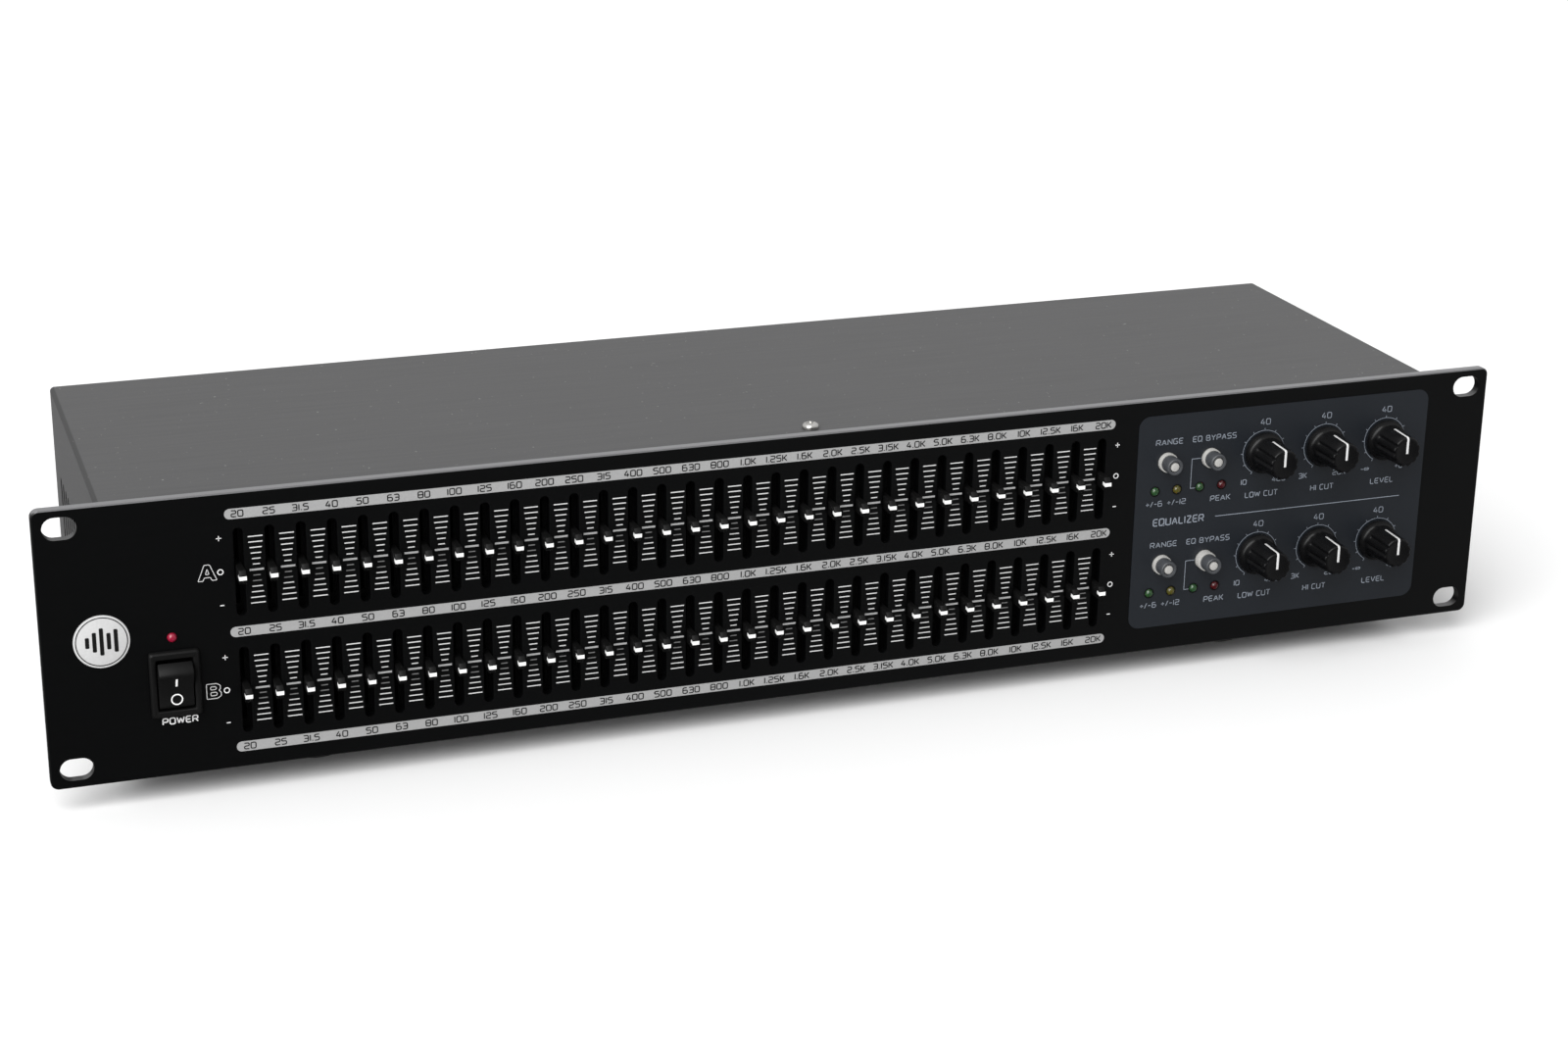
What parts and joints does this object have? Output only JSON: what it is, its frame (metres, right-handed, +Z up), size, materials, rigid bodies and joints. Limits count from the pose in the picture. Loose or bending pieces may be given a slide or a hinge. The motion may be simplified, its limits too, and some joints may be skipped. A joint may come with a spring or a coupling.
{
  "type": "graphic equalizer",
  "caption": "Two-channel rack-mount graphic equalizer with rows of slide faders, rotary filter and level knobs, push buttons and a power rocker in a low steel case.",
  "frame": {"origin": "centre of the four rack slots, on the rear (mounting) face of the front panel", "axes": "+X to the right along the front, +Y from the front into the rack, +Z up"},
  "size_m": [0.4826, 0.1463, 0.0963],
  "materials": {
    "anodised_panel": "black anodised, brushed along its length",
    "printed_overlay": "satin printed film",
    "case_paint": "dark grey fine powder coat",
    "foot_rubber": "matte",
    "plated_steel": "nickel plated",
    "pot_steel": "tin plated",
    "board_green": "solder mask",
    "switch_plastic": "satin black",
    "lamp_lens": "coloured epoxy",
    "socket_metal": "black plated die casting",
    "winding_tape": "insulating tape",
    "knob_plastic": "matte black",
    "button_plastic": "grey with white core",
    "cap_plastic": "matte black"
  },
  "bodies": {
    "chassis": {"front_panel": "anodised_panel", "control_overlay": "printed_overlay", "top_cover": "case_paint", "chassis_tray": "case_paint", "rear_panel": "case_paint", "rubber_feet": "foot_rubber", "case_fasteners": "plated_steel", "fader_pots": "pot_steel", "fader_board": "board_green", "control_board": "board_green", "rotary_pots": "pot_steel", "button_switches": "switch_plastic", "rocker_housing": "switch_plastic", "indicator_leds": "lamp_lens", "mains_inlet": "switch_plastic", "audio_sockets": "socket_metal", "transformer": "winding_tape", "power_board": "board_green"},
    "power_rocker": {"power_rocker": "switch_plastic"},
    "range_button_a": {"range_button_a": "button_plastic"},
    "bypass_button_a": {"bypass_button_a": "button_plastic"},
    "range_button_b": {"range_button_b": "button_plastic"},
    "bypass_button_b": {"bypass_button_b": "button_plastic"},
    "low_cut_knob_a": {"low_cut_knob_a": "knob_plastic"},
    "hi_cut_knob_a": {"hi_cut_knob_a": "knob_plastic"},
    "level_knob_a": {"level_knob_a": "knob_plastic"},
    "low_cut_knob_b": {"low_cut_knob_b": "knob_plastic"},
    "hi_cut_knob_b": {"hi_cut_knob_b": "knob_plastic"},
    "level_knob_b": {"level_knob_b": "knob_plastic"},
    "faders_20": {"faders_20": "cap_plastic"},
    "faders_25": {"faders_25": "cap_plastic"},
    "faders_31_5": {"faders_31_5": "cap_plastic"},
    "faders_40": {"faders_40": "cap_plastic"},
    "faders_50": {"faders_50": "cap_plastic"},
    "faders_63": {"faders_63": "cap_plastic"},
    "faders_80": {"faders_80": "cap_plastic"},
    "faders_100": {"faders_100": "cap_plastic"},
    "faders_125": {"faders_125": "cap_plastic"},
    "faders_160": {"faders_160": "cap_plastic"},
    "faders_200": {"faders_200": "cap_plastic"},
    "faders_250": {"faders_250": "cap_plastic"},
    "faders_315": {"faders_315": "cap_plastic"},
    "faders_400": {"faders_400": "cap_plastic"},
    "faders_500": {"faders_500": "cap_plastic"},
    "faders_630": {"faders_630": "cap_plastic"},
    "faders_800": {"faders_800": "cap_plastic"},
    "faders_1k": {"faders_1k": "cap_plastic"},
    "faders_1k25": {"faders_1k25": "cap_plastic"},
    "faders_1k6": {"faders_1k6": "cap_plastic"},
    "faders_2k": {"faders_2k": "cap_plastic"},
    "faders_2k5": {"faders_2k5": "cap_plastic"},
    "faders_3k15": {"faders_3k15": "cap_plastic"},
    "faders_4k": {"faders_4k": "cap_plastic"},
    "faders_5k": {"faders_5k": "cap_plastic"},
    "faders_6k3": {"faders_6k3": "cap_plastic"},
    "faders_8k": {"faders_8k": "cap_plastic"},
    "faders_10k": {"faders_10k": "cap_plastic"},
    "faders_12k5": {"faders_12k5": "cap_plastic"},
    "faders_16k": {"faders_16k": "cap_plastic"},
    "faders_20k": {"faders_20k": "cap_plastic"}
  },
  "joints": [
    {"name": "power_switch", "type": "hinge", "parent": "chassis", "child": "power_rocker", "pos_m": [-0.203, -0.00165, -0.014], "axis": [-1, 0, 0], "range_deg": [0, 30]},
    {"name": "range_press_a", "type": "slide", "parent": "chassis", "child": "range_button_a", "axis": [0, 1, 0], "range_m": [-0.0014, 0.0005]},
    {"name": "bypass_press_a", "type": "slide", "parent": "chassis", "child": "bypass_button_a", "axis": [0, 1, 0], "range_m": [-0.0014, 0.0005]},
    {"name": "range_press_b", "type": "slide", "parent": "chassis", "child": "range_button_b", "axis": [0, 1, 0], "range_m": [-0.0014, 0.0005]},
    {"name": "bypass_press_b", "type": "slide", "parent": "chassis", "child": "bypass_button_b", "axis": [0, 1, 0], "range_m": [0, 0.0019]},
    {"name": "low_cut_turn_a", "type": "hinge", "parent": "chassis", "child": "low_cut_knob_a", "pos_m": [0.1576, -0.0035, 0.0224], "axis": [0, 1, 0], "range_deg": [-150, 150]},
    {"name": "hi_cut_turn_a", "type": "hinge", "parent": "chassis", "child": "hi_cut_knob_a", "pos_m": [0.1804, -0.0035, 0.0224], "axis": [0, 1, 0], "range_deg": [-150, 150]},
    {"name": "level_turn_a", "type": "hinge", "parent": "chassis", "child": "level_knob_a", "pos_m": [0.2032, -0.0035, 0.0224], "axis": [0, 1, 0], "range_deg": [-150, 150]},
    {"name": "low_cut_turn_b", "type": "hinge", "parent": "chassis", "child": "low_cut_knob_b", "pos_m": [0.1576, -0.0035, -0.0134], "axis": [0, 1, 0], "range_deg": [-150, 150]},
    {"name": "hi_cut_turn_b", "type": "hinge", "parent": "chassis", "child": "hi_cut_knob_b", "pos_m": [0.1804, -0.0035, -0.0134], "axis": [0, 1, 0], "range_deg": [-150, 150]},
    {"name": "level_turn_b", "type": "hinge", "parent": "chassis", "child": "level_knob_b", "pos_m": [0.2032, -0.0035, -0.0134], "axis": [0, 1, 0], "range_deg": [-150, 150]},
    {"name": "slide_20", "type": "slide", "parent": "chassis", "child": "faders_20", "axis": [0, 0, 1], "range_m": [-0.01, 0.01]},
    {"name": "slide_25", "type": "slide", "parent": "chassis", "child": "faders_25", "axis": [0, 0, 1], "range_m": [-0.01, 0.01]},
    {"name": "slide_31_5", "type": "slide", "parent": "chassis", "child": "faders_31_5", "axis": [0, 0, 1], "range_m": [-0.01, 0.01]},
    {"name": "slide_40", "type": "slide", "parent": "chassis", "child": "faders_40", "axis": [0, 0, 1], "range_m": [-0.01, 0.01]},
    {"name": "slide_50", "type": "slide", "parent": "chassis", "child": "faders_50", "axis": [0, 0, 1], "range_m": [-0.01, 0.01]},
    {"name": "slide_63", "type": "slide", "parent": "chassis", "child": "faders_63", "axis": [0, 0, 1], "range_m": [-0.01, 0.01]},
    {"name": "slide_80", "type": "slide", "parent": "chassis", "child": "faders_80", "axis": [0, 0, 1], "range_m": [-0.01, 0.01]},
    {"name": "slide_100", "type": "slide", "parent": "chassis", "child": "faders_100", "axis": [0, 0, 1], "range_m": [-0.01, 0.01]},
    {"name": "slide_125", "type": "slide", "parent": "chassis", "child": "faders_125", "axis": [0, 0, 1], "range_m": [-0.01, 0.01]},
    {"name": "slide_160", "type": "slide", "parent": "chassis", "child": "faders_160", "axis": [0, 0, 1], "range_m": [-0.01, 0.01]},
    {"name": "slide_200", "type": "slide", "parent": "chassis", "child": "faders_200", "axis": [0, 0, 1], "range_m": [-0.01, 0.01]},
    {"name": "slide_250", "type": "slide", "parent": "chassis", "child": "faders_250", "axis": [0, 0, 1], "range_m": [-0.01, 0.01]},
    {"name": "slide_315", "type": "slide", "parent": "chassis", "child": "faders_315", "axis": [0, 0, 1], "range_m": [-0.01, 0.01]},
    {"name": "slide_400", "type": "slide", "parent": "chassis", "child": "faders_400", "axis": [0, 0, 1], "range_m": [-0.01, 0.01]},
    {"name": "slide_500", "type": "slide", "parent": "chassis", "child": "faders_500", "axis": [0, 0, 1], "range_m": [-0.01, 0.01]},
    {"name": "slide_630", "type": "slide", "parent": "chassis", "child": "faders_630", "axis": [0, 0, 1], "range_m": [-0.01, 0.01]},
    {"name": "slide_800", "type": "slide", "parent": "chassis", "child": "faders_800", "axis": [0, 0, 1], "range_m": [-0.01, 0.01]},
    {"name": "slide_1k", "type": "slide", "parent": "chassis", "child": "faders_1k", "axis": [0, 0, 1], "range_m": [-0.01, 0.01]},
    {"name": "slide_1k25", "type": "slide", "parent": "chassis", "child": "faders_1k25", "axis": [0, 0, 1], "range_m": [-0.01, 0.01]},
    {"name": "slide_1k6", "type": "slide", "parent": "chassis", "child": "faders_1k6", "axis": [0, 0, 1], "range_m": [-0.01, 0.01]},
    {"name": "slide_2k", "type": "slide", "parent": "chassis", "child": "faders_2k", "axis": [0, 0, 1], "range_m": [-0.01, 0.01]},
    {"name": "slide_2k5", "type": "slide", "parent": "chassis", "child": "faders_2k5", "axis": [0, 0, 1], "range_m": [-0.01, 0.01]},
    {"name": "slide_3k15", "type": "slide", "parent": "chassis", "child": "faders_3k15", "axis": [0, 0, 1], "range_m": [-0.01, 0.01]},
    {"name": "slide_4k", "type": "slide", "parent": "chassis", "child": "faders_4k", "axis": [0, 0, 1], "range_m": [-0.01, 0.01]},
    {"name": "slide_5k", "type": "slide", "parent": "chassis", "child": "faders_5k", "axis": [0, 0, 1], "range_m": [-0.01, 0.01]},
    {"name": "slide_6k3", "type": "slide", "parent": "chassis", "child": "faders_6k3", "axis": [0, 0, 1], "range_m": [-0.01, 0.01]},
    {"name": "slide_8k", "type": "slide", "parent": "chassis", "child": "faders_8k", "axis": [0, 0, 1], "range_m": [-0.01, 0.01]},
    {"name": "slide_10k", "type": "slide", "parent": "chassis", "child": "faders_10k", "axis": [0, 0, 1], "range_m": [-0.01, 0.01]},
    {"name": "slide_12k5", "type": "slide", "parent": "chassis", "child": "faders_12k5", "axis": [0, 0, 1], "range_m": [-0.01, 0.01]},
    {"name": "slide_16k", "type": "slide", "parent": "chassis", "child": "faders_16k", "axis": [0, 0, 1], "range_m": [-0.01, 0.01]},
    {"name": "slide_20k", "type": "slide", "parent": "chassis", "child": "faders_20k", "axis": [0, 0, 1], "range_m": [-0.01, 0.01]}
  ]
}
